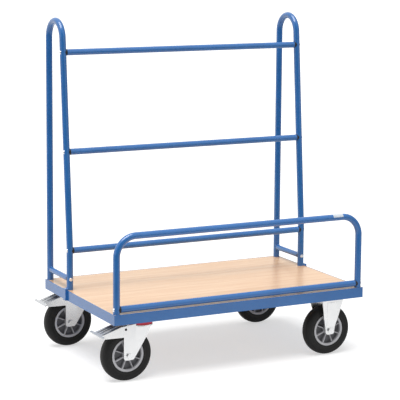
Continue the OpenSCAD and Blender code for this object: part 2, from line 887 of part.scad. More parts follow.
module front_left_brake_shoe() { brake_shoe(front); }
module rear_left_brake_shoe() { brake_shoe(rear); }

// Fixed castors

module at_fixed(row) {
    translate([castor_x, row * castor_y, 0]) children();
}

module at_fixed_axle(row) {
    at_fixed(row) translate([0, 0, wheel_r]) children();
}

// Heights of the fixed bracket above its axle, and the slope of its flared cheeks
bracket_bend = bracket_bend_share * wheel_r;
bracket_rise = plate_low - wheel_r - bracket_bend;
bracket_top = bracket_bend + bracket_rise + plate_t / 2;
bracket_slope = (plate_w / 2 - bracket_inset - fork_out) / bracket_rise;

// Bent sheet between two distances from its inner face, upright round the axle and then flared
module bracket_sheet(inner, outer) {
    low = -bracket_heel_drop - cut;
    flare = (bracket_top - bracket_bend) * bracket_slope;
    rotate([90, 0, 90]) linear_extrude(plate_l, center = true) translate([fork_in, 0]) polygon([
        [inner, low], [outer, low], [outer, bracket_bend],
        [outer + flare, bracket_top], [inner + flare, bracket_top], [inner, bracket_bend]
    ]);
}

// Outline that a cheek is cut to, seen from the side
module bracket_outline() {
    low = bracket_low_share * wheel_r;
    mid = bracket_mid_shares * wheel_r;
    top = bracket_top_share * wheel_r;
    foot = [bracket_heel_w / 2 - heel_r, heel_r - bracket_heel_drop];
    rotate([90, 0, 0]) linear_extrude(plate_w * 2, center = true) {
        for (side = [left, right]) translate([side * foot[0], foot[1]]) circle(r = heel_r);
        polygon([
            [-bracket_heel_w / 2, foot[1]], [-foot[0], -bracket_heel_drop],
            [foot[0], -bracket_heel_drop], [bracket_heel_w / 2, foot[1]], [low, bracket_bend], mid,
            [top, bracket_top + cut], [-top, bracket_top + cut], [-mid[0], mid[1]], [-low, bracket_bend]
        ]);
    }
}

// Raised panel up the middle of a cheek
module panel_outline() {
    low = panel_low_share * wheel_r;
    top = panel_top_share * wheel_r;
    start = bracket_bend + panel_start;
    end = bracket_bend + bracket_rise - panel_end;
    rotate([90, 0, 0]) linear_extrude(plate_w * 2, center = true)
        polygon([[-low, start], [low, start], [top, end], [-top, end]]);
}

module fixed_bracket(row) {
    color(zinc) trolley() difference() {
        union() {
            at_fixed(row) castor_plate();
            at_fixed_axle(row) for (side = [front, rear]) on_row(side) {
                intersection() {
                    bracket_sheet(0, fork_t);
                    bracket_outline();
                }
                intersection() {
                    bracket_sheet(fork_t / 2, fork_t + panel_t);
                    panel_outline();
                }
            }
        }
        at_fixed_axle(row) axle_bore();
    }
}

module front_right_bracket() { fixed_bracket(front); }
module rear_right_bracket() { fixed_bracket(rear); }

module fixed_axle_bolts() {
    color(zinc) trolley() for (row = [front, rear]) at_fixed_axle(row) axle_bolt();
}

module fixed_axle_sleeves() {
    color(zinc) trolley() for (row = [front, rear]) at_fixed_axle(row) axle_sleeve();
}

module front_right_tyre() { trolley() at_fixed_axle(front) tyre(); }
module front_right_rim() { trolley() at_fixed_axle(front) rim(); }
module front_right_bearing() { trolley() at_fixed_axle(front) bearing(); }
module rear_right_tyre() { trolley() at_fixed_axle(rear) tyre(); }
module rear_right_rim() { trolley() at_fixed_axle(rear) rim(); }
module rear_right_bearing() { trolley() at_fixed_axle(rear) bearing(); }

front_rail();
rear_rail();
left_rail();
right_rail();
deck_board();
left_castor_bearer();
right_castor_bearer();
centre_bearer();
deck_screws();
left_upright();
right_upright();
left_foot_rail();
right_foot_rail();
lower_cross_tube();
middle_cross_tube();
top_cross_tube();
front_hoop();
hoop_lower_tube();
tube_saddles();
tube_screws();
leg_hooks();
leg_bolts();
blank_label();
castor_bolts();
castor_nuts();
front_left_plate();
rear_left_plate();
kingpins();
swivel_balls();
dust_seals();
front_left_fork();
front_left_axle_bolt();
front_left_axle_sleeve();
front_left_tyre();
front_left_rim();
front_left_bearing();
front_left_pedal();
front_left_pedal_pins();
front_left_brake_shoe();
rear_left_fork();
rear_left_axle_bolt();
rear_left_axle_sleeve();
rear_left_tyre();
rear_left_rim();
rear_left_bearing();
rear_left_pedal();
rear_left_pedal_pins();
rear_left_brake_shoe();
front_right_bracket();
rear_right_bracket();
fixed_axle_bolts();
fixed_axle_sleeves();
front_right_tyre();
front_right_rim();
front_right_bearing();
rear_right_tyre();
rear_right_rim();
rear_right_bearing();
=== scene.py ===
# %% [markdown]
# A panel trolley, dressed in Blender
#
# The trolley is a flat deck on four castors, with a leaning tube rack along its back edge and a low hoop
# along its front. Its solid parts come ready made, at their real size, and stay where they are. This
# lesson gives every surface its finish, and makes new surfaces where a solid looks too plain: bent
# tubes, tyres, rims and welds.

# %% Load the solid parts
import json
import math

import bmesh
import bpy
import numpy as np
from mathutils import Matrix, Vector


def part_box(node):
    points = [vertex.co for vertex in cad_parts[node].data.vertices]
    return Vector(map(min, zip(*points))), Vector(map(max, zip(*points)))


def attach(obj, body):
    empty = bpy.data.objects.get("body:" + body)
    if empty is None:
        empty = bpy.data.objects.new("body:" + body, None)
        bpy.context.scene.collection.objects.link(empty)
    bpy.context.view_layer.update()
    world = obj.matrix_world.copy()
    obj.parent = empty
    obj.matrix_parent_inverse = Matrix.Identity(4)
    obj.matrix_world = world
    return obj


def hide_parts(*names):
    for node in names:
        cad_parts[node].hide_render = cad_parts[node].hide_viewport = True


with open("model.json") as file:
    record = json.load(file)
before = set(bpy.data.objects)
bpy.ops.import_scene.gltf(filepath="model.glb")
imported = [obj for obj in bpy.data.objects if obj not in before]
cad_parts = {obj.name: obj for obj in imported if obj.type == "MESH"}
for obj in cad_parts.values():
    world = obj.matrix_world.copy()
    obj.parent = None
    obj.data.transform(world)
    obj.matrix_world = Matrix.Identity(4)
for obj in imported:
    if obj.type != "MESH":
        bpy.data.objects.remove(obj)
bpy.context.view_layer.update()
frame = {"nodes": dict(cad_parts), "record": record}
nodes = frame["nodes"]
MM = 0.001
print("solid parts:", len(nodes))

# %% [markdown]
# Reading sizes from the solid parts
#
# A new surface has to sit exactly where the solid piece sits. Typing its place again would work until the
# solid changes, so the places are read from the boxes around the solid pieces instead.

# %% Measure the solid parts


def middle(name):
    """Middle of a solid piece's box."""
    low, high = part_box(name)
    return (np.array(low) + np.array(high)) / 2


def spread(name):
    """Length of a solid piece's box along X, Y and Z."""
    low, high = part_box(name)
    return np.array(high) - np.array(low)


# Where a solid bend meets a straight, it has a seam that is this much proud
SEAM = 0.25 * MM
post_r = spread("left_upright")[0] / 2 - SEAM
board_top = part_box("deck_board")[1].z
print("post radius in mm:", round(post_r / MM, 2), "top of the board in mm:", round(board_top / MM, 1))

# %% [markdown]
# The camera
#
# The trolley is seen from the front and the left, a little from above, with a long lens. A constraint
# could aim the camera, but would take away its slight roll. A camera looks along its own -Z axis, so its
# three axes are worked out from the direction of view and set as a matrix. The lens is shifted down a
# little, as on a view camera, which keeps the uprights nearly parallel.

# %% Camera
IMAGE_PX = 400
FOCAL_PX = 1633.5
SENSOR_MM = 36
EYE = np.array([-2.9114, -5.6544, 1.7161])
VIEW_TURN = math.radians(27.27)
VIEW_DOWN = math.radians(8.17)
VIEW_ROLL = math.radians(-0.42)
LENS_DROP = -0.125
FAR_END = 200


def unit(v):
    """Arrows of length one along the last axis of an array."""
    v = np.asarray(v, float)
    return v / np.linalg.norm(v, axis=-1, keepdims=True)


ahead = np.array([
    math.sin(VIEW_TURN) * math.cos(VIEW_DOWN),
    math.cos(VIEW_TURN) * math.cos(VIEW_DOWN),
    -math.sin(VIEW_DOWN),
])
level = unit(np.cross(ahead, (0, 0, 1)))
down = np.cross(ahead, level)
right = math.cos(VIEW_ROLL) * level + math.sin(VIEW_ROLL) * down
up = math.sin(VIEW_ROLL) * level - math.cos(VIEW_ROLL) * down

lens = bpy.data.cameras.new("camera")
lens.sensor_width = SENSOR_MM
lens.lens = FOCAL_PX * SENSOR_MM / IMAGE_PX
lens.shift_y = LENS_DROP
lens.clip_end = FAR_END
camera = bpy.data.objects.new("camera", lens)
bpy.context.scene.collection.objects.link(camera)
axes = np.eye(4)
axes[:3, 0] = right
axes[:3, 1] = up
axes[:3, 2] = -ahead
axes[:3, 3] = EYE
camera.matrix_world = Matrix(axes.tolist())
bpy.context.scene.camera = camera
print("lens in mm:", round(lens.lens, 1))

# %% [markdown]
# Colours and nodes
#
# Paint cards and screens give colours as sRGB hex values, but a shader works with linear light, so one
# function turns the first into the second. Another adds a node, sets it and links it, which keeps each
# material short enough to read as a recipe. Most finishes are two close tones that a noise texture mixes
# in clouds. Its values stay mostly between 0.3 and 0.7, so the tones are spread over that range.

# %% Helpers for materials
NOISE_LOW, NOISE_HIGH = 0.3, 0.7
# A Mix node for colours has its share, its two colours and its result at these places
MIX_SHARE, MIX_FIRST, MIX_SECOND, MIX_RESULT = 0, 6, 7, 2


def linear(hex_colour):
    """Linear colour from an sRGB hex value: each channel takes the standard sRGB curve backwards."""
    digits = hex_colour.lstrip("#")
    srgb = np.array([int(digits[i:i + 2], 16) / 255 for i in (0, 2, 4)])
    light = np.where(srgb <= 0.04045, srgb / 12.92, ((srgb + 0.055) / 1.055) ** 2.4)
    return (*light.tolist(), 1.0)


def per_metre(size_mm):
    """Scale of a pattern whose features are this many millimetres apart."""
    return 1 / (size_mm * MM)


def add(tree, kind, inputs=(), **settings):
    """One new node: settings are its options, and inputs gives each socket a number or a link."""
    node = tree.nodes.new(kind)
    for name, value in settings.items():
        setattr(node, name, value)
    for socket, value in dict(inputs).items():
        if isinstance(value, bpy.types.NodeSocket):
            tree.links.new(value, node.inputs[socket])
        else:
            node.inputs[socket].default_value = value
    return node


def finish_of(name, constants):
    """New material with one Principled shader, whose constant sockets are set straight away."""
    material = bpy.data.materials.new(name)
    material.use_nodes = True
    shader = material.node_tree.nodes["Principled BSDF"]
    for socket, value in constants.items():
        shader.inputs[socket].default_value = value
    return material, material.node_tree, shader


def two_tones(tree, amount, hex_low, hex_high, low=NOISE_LOW, high=NOISE_HIGH):
    """Colour that goes from one hex value to another while amount goes from low to high."""
    share = add(tree, "ShaderNodeMapRange", {"Value": amount, "From Min": low, "From Max": high})
    mixed = add(tree, "ShaderNodeMix", {
        MIX_SHARE: share.outputs["Result"], MIX_FIRST: linear(hex_low), MIX_SECOND: linear(hex_high),
    }, data_type="RGBA")
    return mixed.outputs[MIX_RESULT]


def feed(tree, shader, tone, rough, bump):
    """Links the colour, and the roughness and bump nodes, to the shader."""
    tree.links.new(tone, shader.inputs["Base Color"])
    tree.links.new(rough.outputs["Result"], shader.inputs["Roughness"])
    tree.links.new(bump.outputs["Normal"], shader.inputs["Normal"])


finishes = {}
print("mid grey in linear light:", round(linear("#808080")[0], 3))

# %% [markdown]
# Blue powder coat
#
# The frame is steel tube and angle with a satin powder coat: dry paint that melts in an oven. It flows
# out almost flat, and leaves a fine orange peel that breaks up reflections, and slight clouds where the
# coat is thicker. An image of paint could be wrapped round each tube, but noise has no seams and keeps
# its real size. Real orange peel is about 2 mm across. Here it is drawn at 4 mm, because finer would not
# show.

# %% Blue powder coat
PEEL_MM = 4
PEEL_DEPTH_MM = 0.15
CLOUD_MM = 90

coat, tree, shader = finish_of("blue_powder_coat_satin", {
    "IOR": 1.5, "Coat Weight": 0.8, "Coat Roughness": 0.1})
place = add(tree, "ShaderNodeTexCoord").outputs["Object"]
cloud = add(tree, "ShaderNodeTexNoise", {"Vector": place, "Scale": per_metre(CLOUD_MM), "Detail": 3.0})
peel = add(tree, "ShaderNodeTexNoise", {"Vector": place, "Scale": per_metre(PEEL_MM), "Detail": 1.0})
tone = two_tones(tree, cloud.outputs["Fac"], "#1f68ae", "#2770b8")
rough = add(tree, "ShaderNodeMapRange", {"Value": cloud.outputs["Fac"], "To Min": 0.2, "To Max": 0.3})
bump = add(tree, "ShaderNodeBump", {
    "Height": peel.outputs["Fac"], "Strength": 0.25, "Distance": PEEL_DEPTH_MM * MM})
feed(tree, shader, tone, rough, bump)
finishes["blue_powder_coat"] = coat
print("made", coat.name)

# %% [markdown]
# Beech decor board
#
# The deck is chipboard with a printed beech surface under clear resin. Beech is pale pink brown, with
# soft stripes along the board and many short darker flecks. An image of veneer would repeat, so both are
# noise that is stretched along X: a stripe is about 18 mm wide, and a fleck 1.5 mm wide and 15 mm long,
# drawn at twice that so that it shows.

# %% Beech decor board
STRIPE_MM = 18
STRIPE_STRETCH = 0.05
STRIPE_HIGH = 0.72
FLECK_MM = 3
FLECK_STRETCH = 0.1
FLECK_FROM, FLECK_TO = 0.58, 0.75
FLECK_SHARE = 0.45
FLECK_DEPTH_MM = 0.05

board, tree, shader = finish_of("beech_decor_resin", {
    "IOR": 1.5, "Coat Weight": 0.2, "Coat Roughness": 0.2})
place = add(tree, "ShaderNodeTexCoord").outputs["Object"]
stripe_place = add(tree, "ShaderNodeMapping", {"Vector": place, "Scale": (STRIPE_STRETCH, 1, 1)})
fleck_place = add(tree, "ShaderNodeMapping", {"Vector": place, "Scale": (FLECK_STRETCH, 1, 1)})
stripe = add(tree, "ShaderNodeTexNoise", {
    "Vector": stripe_place.outputs["Vector"], "Scale": per_metre(STRIPE_MM),
    "Detail": 4.0, "Distortion": 0.4})
fleck = add(tree, "ShaderNodeTexNoise", {
    "Vector": fleck_place.outputs["Vector"], "Scale": per_metre(FLECK_MM), "Detail": 2.0})
wood = two_tones(tree, stripe.outputs["Fac"], "#edc8a2", "#e0b184", high=STRIPE_HIGH)
fleck_amount = add(tree, "ShaderNodeMapRange", {
    "Value": fleck.outputs["Fac"], "From Min": FLECK_FROM, "From Max": FLECK_TO, "To Max": FLECK_SHARE})
flecked = add(tree, "ShaderNodeMix", {
    MIX_SHARE: fleck_amount.outputs["Result"], MIX_FIRST: wood, MIX_SECOND: linear("#c99a70"),
}, data_type="RGBA")
rough = add(tree, "ShaderNodeMapRange", {"Value": stripe.outputs["Fac"], "To Min": 0.26, "To Max": 0.36})
bump = add(tree, "ShaderNodeBump", {
    "Height": fleck.outputs["Fac"], "Strength": 0.08, "Distance": FLECK_DEPTH_MM * MM})
feed(tree, shader, flecked.outputs[MIX_RESULT], rough, bump)
finishes["beech_board"] = board
print("made", board.name)

# %% [markdown]
# Bright zinc plate
#
# Forks, plates, bolts and screws are steel with bright zinc plate. It is a metal, so its colour is the
# colour of its reflection: near white with a cold tint. An even gloss would look like chrome, but the
# plating bath leaves faint clouds, and the steel under it a fine grit, so the roughness changes a little
# from place to place.

# %% Bright zinc plate
BATH_MM = 25
GRIT_MM = 3
GRIT_DEPTH_MM = 0.08

zinc, tree, shader = finish_of("bright_zinc_plate", {"Metallic": 0.9})
place = add(tree, "ShaderNodeTexCoord").outputs["Object"]
bath = add(tree, "ShaderNodeTexNoise", {"Vector": place, "Scale": per_metre(BATH_MM), "Detail": 4.0})
grit = add(tree, "ShaderNodeTexNoise", {"Vector": place, "Scale": per_metre(GRIT_MM), "Detail": 2.0})
tone = two_tones(tree, bath.outputs["Fac"], "#f0f1f2", "#f8f8f8")
rough = add(tree, "ShaderNodeMapRange", {"Value": bath.outputs["Fac"], "To Min": 0.2, "To Max": 0.3})
bump = add(tree, "ShaderNodeBump", {
    "Height": grit.outputs["Fac"], "Strength": 0.12, "Distance": GRIT_DEPTH_MM * MM})
feed(tree, shader, tone, rough, bump)
finishes["zinc_plate"] = zinc
print("made", zinc.name)

# %% [markdown]
# Moulded plastics, seals and the small metals
#
# These finishes differ only in their colours, their roughness and the size of their grain, so one recipe
# makes them all: two tones by a cloud, a fine grain as bump, and a roughness that follows the cloud.

# %% Moulded plastics, seals and small metals
GRAIN_STRENGTH = 0.4


def grained(name, tones, roughness, cloud_mm, grain_mm, grain_depth_mm, metallic=0.0):
    """Finish of two close tones in clouds, with a fine grain pressed into the surface."""
    material, tree, shader = finish_of(name, {"Metallic": metallic})
    place = add(tree, "ShaderNodeTexCoord").outputs["Object"]
    cloud = add(tree, "ShaderNodeTexNoise", {"Vector": place, "Scale": per_metre(cloud_mm), "Detail": 3.0})
    grain = add(tree, "ShaderNodeTexNoise", {"Vector": place, "Scale": per_metre(grain_mm), "Detail": 2.0})
    tone = two_tones(tree, cloud.outputs["Fac"], *tones)
    rough = add(tree, "ShaderNodeMapRange", {
        "Value": cloud.outputs["Fac"], "To Min": roughness[0], "To Max": roughness[1]})
    bump = add(tree, "ShaderNodeBump", {
        "Height": grain.outputs["Fac"], "Strength": GRAIN_STRENGTH, "Distance": grain_depth_mm * MM})
    feed(tree, shader, tone, rough, bump)
    print("made", name)
    return material


# Moulded polyamide is near black, with a dull even gloss
finishes["black_plastic"] = grained(
    "black_polyamide_moulded", ("#141416", "#1d1d20"), roughness=(0.45, 0.6),
    cloud_mm=12, grain_mm=1.5, grain_depth_mm=0.05)
# Seal rubber is a bright red that stays matt
finishes["red_seal"] = grained(
    "red_rubber_seal", ("#d02c40", "#de384c"), roughness=(0.4, 0.55),
    cloud_mm=12, grain_mm=1.5, grain_depth_mm=0.05)
# The blank label is white film with a soft shine
finishes["white_label"] = grained(
    "white_label_film", ("#ccd4dc", "#d6dde4"), roughness=(0.3, 0.38),
    cloud_mm=15, grain_mm=2, grain_depth_mm=0.01)
# Hardened balls are close to a mirror
finishes["steel_balls"] = grained(
    "hardened_steel", ("#c8c8ca", "#d6d6d8"), roughness=(0.12, 0.2),
    cloud_mm=6, grain_mm=1, grain_depth_mm=0.005, metallic=1.0)
# Sintered bronze is a brown metal, dulled by its pores
finishes["bearing_bronze"] = grained(
    "sintered_bronze", ("#a07a4a", "#b48c58"), roughness=(0.35, 0.5),
    cloud_mm=6, grain_mm=1, grain_depth_mm=0.02, metallic=1.0)
# Blackened steel is dark, with hardly any shine
blackened = grained(
    "blackened_steel", ("#1c1c1e", "#2a2a2c"), roughness=(0.4, 0.55),
    cloud_mm=5, grain_mm=1, grain_depth_mm=0.02)

# %% [markdown]
# Fluted zinc of the pedals
#
# Feet have worn the zinc of the brake pedals dull. Flutes are pressed along the pedal for grip. They could
# be cut into the mesh, but they are shallow and even, so a wave across the pedal bends the surface, and
# also paints shade into their grooves and a highlight onto their crests, as darker and lighter stripes.
# The lip at the pedal's end is plain and pale.
# Both pedals end at the same distance to the left, so one X tells it apart.

# %% Fluted zinc of the pedals
FLUTE_MM = 22
FLUTE_DEPTH_MM = 1.2
FLUTE_LOW, FLUTE_HIGH = 0.2, 0.8
LIP_MM = 13
RUB_MM = 9
# A wave texture of scale one repeats after this length
WAVE_LENGTH = math.tau / 20

worn_zinc, tree, shader = finish_of("worn_zinc_plate", {"Metallic": 0.9})
place = add(tree, "ShaderNodeTexCoord").outputs["Object"]
rub = add(tree, "ShaderNodeTexNoise", {"Vector": place, "Scale": per_metre(RUB_MM), "Detail": 3.0})
flute = add(tree, "ShaderNodeTexWave", {
    "Vector": place, "Scale": WAVE_LENGTH * per_metre(FLUTE_MM)}, bands_direction="Y")
along = add(tree, "ShaderNodeSeparateXYZ", {"Vector": place}).outputs["X"]
lip_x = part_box("front_left_pedal")[0].x + LIP_MM * MM
past_lip = add(tree, "ShaderNodeMath", {0: along, 1: lip_x}, operation="GREATER_THAN")
lip = add(tree, "ShaderNodeMath", {0: along, 1: lip_x}, operation="LESS_THAN")
ridge = add(tree, "ShaderNodeMath", {
    0: flute.outputs["Fac"], 1: past_lip.outputs["Value"]}, operation="MULTIPLY")
bright = add(tree, "ShaderNodeMath", {
    0: ridge.outputs["Value"], 1: lip.outputs["Value"]}, operation="MAXIMUM")
# Painted shade and highlight: the flutes' grooves darker and their crests lighter; the lip pale
tone = two_tones(tree, bright.outputs["Value"], "#8e9094", "#d4d6d8", FLUTE_LOW, FLUTE_HIGH)
rough = add(tree, "ShaderNodeMapRange", {"Value": rub.outputs["Fac"], "To Min": 0.26, "To Max": 0.42})
bump = add(tree, "ShaderNodeBump", {"Height": ridge.outputs["Value"], "Distance": FLUTE_DEPTH_MM * MM})
feed(tree, shader, tone, rough, bump)
print("made", worn_zinc.name)

# %% [markdown]
# Tyre rubber
#
# Solid rubber is black with a dull bloom. Where the tyre runs on the floor it is scuffed and a little
# greyer. The distance from the axle could tell where that is, but each wheel has an axle of its own. The
# tyre is made below as a grid that goes round the axle, so its own UV map tells the tread from the
# sidewall: V runs across the tyre, and is 0.5 in the middle of the tread.

# %% Tyre rubber
BLOOM_MM = 14
SCUFF_MM = 4
SCUFF_DEPTH_MM = 0.1
TREAD_MIDDLE = 0.5
TREAD_SHARE = 0.16
TREAD_CORE_SHARE = 0.6

rubber, tree, shader = finish_of("black_rubber_tyre", {"IOR": 1.52, "Specular IOR Level": 0.3})
coordinates = add(tree, "ShaderNodeTexCoord")
place = coordinates.outputs["Object"]
across = add(tree, "ShaderNodeSeparateXYZ", {"Vector": coordinates.outputs["UV"]})
from_middle = add(tree, "ShaderNodeMath", {0: across.outputs["Y"], 1: TREAD_MIDDLE}, operation="SUBTRACT")
distance = add(tree, "ShaderNodeMath", {0: from_middle.outputs["Value"]}, operation="ABSOLUTE")
tread = add(tree, "ShaderNodeMapRange", {
    "Value": distance.outputs["Value"], "From Min": TREAD_SHARE * TREAD_CORE_SHARE,
    "From Max": TREAD_SHARE, "To Min": 1.0, "To Max": 0.0})
bloom = add(tree, "ShaderNodeTexNoise", {"Vector": place, "Scale": per_metre(BLOOM_MM), "Detail": 3.0})
scuff = add(tree, "ShaderNodeTexNoise", {"Vector": place, "Scale": per_metre(SCUFF_MM), "Detail": 3.0})
scuffed = add(tree, "ShaderNodeMath", {
    0: tread.outputs["Result"], 1: scuff.outputs["Fac"]}, operation="MULTIPLY")
sidewall = two_tones(tree, bloom.outputs["Fac"], "#161616", "#1e1e1e")
tone = add(tree, "ShaderNodeMix", {
    MIX_SHARE: scuffed.outputs["Value"], MIX_FIRST: sidewall, MIX_SECOND: linear("#2c2b2a"),
}, data_type="RGBA")
rough = add(tree, "ShaderNodeMapRange", {"Value": bloom.outputs["Fac"], "To Min": 0.5, "To Max": 0.66})
bump = add(tree, "ShaderNodeBump", {
    "Height": scuff.outputs["Fac"], "Strength": 0.3, "Distance": SCUFF_DEPTH_MM * MM})
feed(tree, shader, tone.outputs[MIX_RESULT], rough, bump)
finishes["rubber_tyre"] = rubber
print("made", rubber.name)

# %% [markdown]
# Grey rim plastic
#
# The rims are pale grey plastic. Less light reaches deep between their ribs, so shade is painted there:
# the plastic's colour is darker towards the wheel's middle plane. An occlusion node could find such
# places, but slowly. The rims are made below with a UV map of their own: V is zero in the wheel's middle
# plane and one at the outer face of the rim's ring.

# %% Grey rim plastic
RIM_CLOUD_MM = 20
RIM_GRAIN_MM = 1.5
RIM_GRAIN_DEPTH_MM = 0.04
# Values of V where the painted shade between the ribs is darkest, and where it has gone
PAINTED_SHADE_LOW, PAINTED_SHADE_HIGH = 0.15, 0.9

grey, tree, shader = finish_of("grey_polypropylene_moulded", {"IOR": 1.49})
coordinates = add(tree, "ShaderNodeTexCoord")
place = coordinates.outputs["Object"]
depth = add(tree, "ShaderNodeSeparateXYZ", {"Vector": coordinates.outputs["UV"]})
cloud = add(tree, "ShaderNodeTexNoise", {"Vector": place, "Scale": per_metre(RIM_CLOUD_MM), "Detail": 3.0})
grain = add(tree, "ShaderNodeTexNoise", {"Vector": place, "Scale": per_metre(RIM_GRAIN_MM), "Detail": 2.0})
# Painted shade: the colour darkens towards the wheel's middle plane, deep between the ribs
tone = two_tones(tree, depth.outputs["Y"], "#747478", "#cacace", PAINTED_SHADE_LOW, PAINTED_SHADE_HIGH)
rough = add(tree, "ShaderNodeMapRange", {"Value": cloud.outputs["Fac"], "To Min": 0.4, "To Max": 0.52})
bump = add(tree, "ShaderNodeBump", {
    "Height": grain.outputs["Fac"], "Strength": GRAIN_STRENGTH, "Distance": RIM_GRAIN_DEPTH_MM * MM})
feed(tree, shader, tone, rough, bump)
finishes["grey_plastic"] = grey
print("made", grey.name)

# %% [markdown]
# Dressing the solid parts
#
# Each solid part names a material slot. The slot's name picks the finish, so no part is forgotten. Only
# the brakes differ: their pedals have the worn and fluted zinc, and their pivot pins are blackened
# steel, which shows as dark dots on the forks.

# %% Dress the solid parts
for row in frame["record"]["subparts"]:
    part = nodes[row["node"]]
    part.material_slots[0].material = finishes[row["material_slot"]]
for row_name in ("front", "rear"):
    nodes[f"{row_name}_left_pedal_pins"].material_slots[0].material = blackened
    nodes[f"{row_name}_left_pedal"].material_slots[0].material = worn_zinc
print("dressed", len(nodes), "parts, with", len(finishes), "finishes by slot")

# %% [markdown]
# Surfaces from numpy
#
# Every new piece is a grid of points: rows along a path or round an axle, columns round a section.
# Blender's own spin and sweep tools could make such pieces too, but here every point follows from a
# formula. The quads between neighbours are worked out for the whole grid at once, and the finished
# arrays go into the mesh.

# %% Helpers for surfaces


def grid_faces(rows, columns, close_rows=False, start=0):
    """Quads of a grid whose columns close on themselves. close_rows also joins the last row to the first,
    and start is the number of the grid's first point."""
    row_count = rows if close_rows else rows - 1
    row, column = np.meshgrid(np.arange(row_count), np.arange(columns), indexing="ij")
    next_row, next_column = (row + 1) % rows, (column + 1) % columns
    corners = [row * columns + column, row * columns + next_column,
               next_row * columns + next_column, next_row * columns + column]
    return (start + np.stack(corners, axis=-1).reshape(-1, 4)).tolist()


def capped(rows, columns, start=0):
    """Faces of an open tube with a flat face over each end."""
    first = np.arange(start, start + columns).tolist()
    last = np.arange(start + (rows - 1) * columns, start + rows * columns).tolist()
    return grid_faces(rows, columns, start=start) + [first, last]


def put_mesh(name, points, faces, slot, body, sharp_degrees=40):
    """Mesh object from an array of points and a list of faces, with normals outwards and its finish on."""
    mesh = bpy.data.meshes.new(name)
    mesh.from_pydata(np.asarray(points).reshape(-1, 3).tolist(), [], faces)
    shape = bmesh.new()
    shape.from_mesh(mesh)
    bmesh.ops.recalc_face_normals(shape, faces=shape.faces)
    shape.to_mesh(mesh)
    shape.free()
    mesh.shade_smooth()
    mesh.set_sharp_from_angle(angle=math.radians(sharp_degrees))
    mesh.materials.append(finishes[slot])
    piece = bpy.data.objects.new(name, mesh)
    bpy.context.scene.collection.objects.link(piece)
    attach(piece, body)
    print("made", name, "with", len(faces), "faces")
    return piece


def carry_circle(path, along, across, radius, sides):
    """Tube: each path point carries a circle, cosine along across and sine along its square to the path."""
    turn = np.linspace(0, 2 * math.pi, sides, endpoint=False)
    other = np.cross(along, across)
    ring = np.cos(turn)[:, None] * across[:, None, :] + np.sin(turn)[:, None] * other[:, None, :]
    radius = np.broadcast_to(radius, len(path))
    return path[:, None, :] + radius[:, None, None] * ring


print("a tube of 3 rings with 8 sides has", len(capped(3, 8)), "faces")

# %% [markdown]
# Bent tubes
#
# The two uprights and the front hoop are each one length of tube, bent cold on a machine. A Blender
# curve with a round bevel would give a plain tube, but these have pressed seats, so a circle is carried
# along a path instead. A bend is an arc, so the path is a walk: go straight, turn on a radius, go
# straight again. Where a screw goes through, the wall is pressed in a little so that the head has a flat
# seat: points near a screw's axis are pushed back to that seat, fading out round it.

# %% Walk of a bent tube
COARSE = 25 * MM
FINE = 1 * MM
SEAT_DEPTH = 1.5 * MM
SEAT_R = 7.5 * MM
SEAT_FADE_R = 11 * MM
SEAT_REACH_SHARE = 1.1
SIDES = 48
BEND_STEP = math.radians(2.5)


def straight_steps(length, marks):
    """Distances along a straight: coarse steps, with fine ones round each mark."""
    steps = [np.linspace(0, length, max(2, int(length / COARSE) + 1))]
    steps += [m + np.arange(-SEAT_FADE_R, SEAT_FADE_R + FINE, FINE) for m in marks]
    steps = np.unique(np.concatenate(steps).round(6))
    inner = steps[(steps > FINE / 4) & (steps < length - FINE / 4)]
    return np.concatenate([[0], inner, [length]])


def walk(legs):
    """Path in a plane that starts at zero and heads up: each leg is a straight run with its marks, then an
    arc of a radius and an angle to the right. Gives the points and the directions, as right and up."""
    here, heading = np.zeros(2), 0.0
    points, ways = [], []
    for run, marks, radius, angle in legs:
        way = np.array([math.sin(heading), math.cos(heading)])
        side = np.array([way[1], -way[0]])
        steps = straight_steps(run, marks)
        points.append(here + steps[:, None] * way)
        ways.append(np.broadcast_to(way, (len(steps), 2)))
        here = here + run * way
        if angle:
            turn = np.linspace(0, angle, max(3, int(angle / BEND_STEP) + 1))[1:-1]
            arc = np.sin(turn)[:, None] * way + (1 - np.cos(turn))[:, None] * side
            points.append(here + radius * arc)
            ways.append(np.cos(turn)[:, None] * way + np.sin(turn)[:, None] * side)
            here = here + radius * (math.sin(angle) * way + (1 - math.cos(angle)) * side)
            heading += angle
    return np.concatenate(points), np.concatenate(ways)


def press_seat(points, centre, outward):
    """Points within a fading radius of a screw's axis, on its outer side, go back to its head's seat."""
    offset = points - centre
    height = offset @ outward
    from_axis = np.linalg.norm(offset - height[..., None] * outward, axis=-1)
    fade = np.clip((SEAT_FADE_R - from_axis) / (SEAT_FADE_R - SEAT_R), 0, 1)
    near = (height > 0) & (height < post_r * SEAT_REACH_SHARE)
    back = np.where(near, np.maximum(0, height - (post_r - SEAT_DEPTH)) * fade, 0)
    return points - back[..., None] * outward


print("rings on a metre of plain tube:", len(straight_steps(1.0, [])))

# %% [markdown]
# Uprights
#
# An upright is a hairpin: up from the deck, a slight kink where the front leg starts to lean, a round
# bend at the top, and straight down again. The bend's radius could be typed, but it isn't free: the arc
# touches the leaning leg, the plumb back leg and the top of the solid, and that leaves one radius. Both
# uprights have the same path, and differ only in where they stand and on which side their screws go in.

# %% Uprights
KINK_RISE = 20 * MM
KINK_R = 60 * MM

